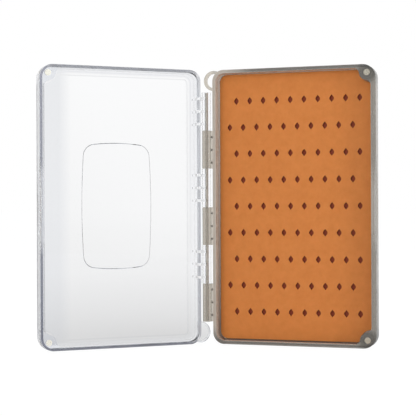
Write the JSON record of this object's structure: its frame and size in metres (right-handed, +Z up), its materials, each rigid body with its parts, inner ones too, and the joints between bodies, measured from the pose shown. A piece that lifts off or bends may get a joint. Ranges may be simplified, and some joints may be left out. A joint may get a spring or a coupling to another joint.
{
  "type": "fly box",
  "caption": "Flat hinged fly box standing open: tinted tray with an orange slit insert, clear magnetic lid, knuckle hinge and a lanyard loop.",
  "frame": {"origin": "on the surface the open box stands on, under the middle of the whole part's box", "axes": "+Z up along the hinge pin, +X along the tray from the hinge to its front wall, +Y towards the tray's back, so that the open sides face -Y"},
  "size_m": [0.204, 0.0838, 0.18],
  "materials": {
    "smoke_plastic": "gloss",
    "clear_plastic": "gloss",
    "orange_silicone": "satin",
    "pin_steel": "satin",
    "magnet_plating": "polished"
  },
  "bodies": {
    "base": {"base_tray": "smoke_plastic", "slit_insert": "orange_silicone", "hinge_pin": "pin_steel", "tray_magnet_upper": "magnet_plating", "tray_magnet_lower": "magnet_plating"},
    "lid": {"lid_shell": "clear_plastic", "lid_magnet_upper": "magnet_plating", "lid_magnet_lower": "magnet_plating"}
  },
  "joints": [
    {"name": "lid_hinge", "type": "hinge", "parent": "base", "child": "lid", "pos_m": [-0.00996, 0.02988, 0.09], "axis": [0, 0, 1], "range_deg": [-40, 140]}
  ]
}
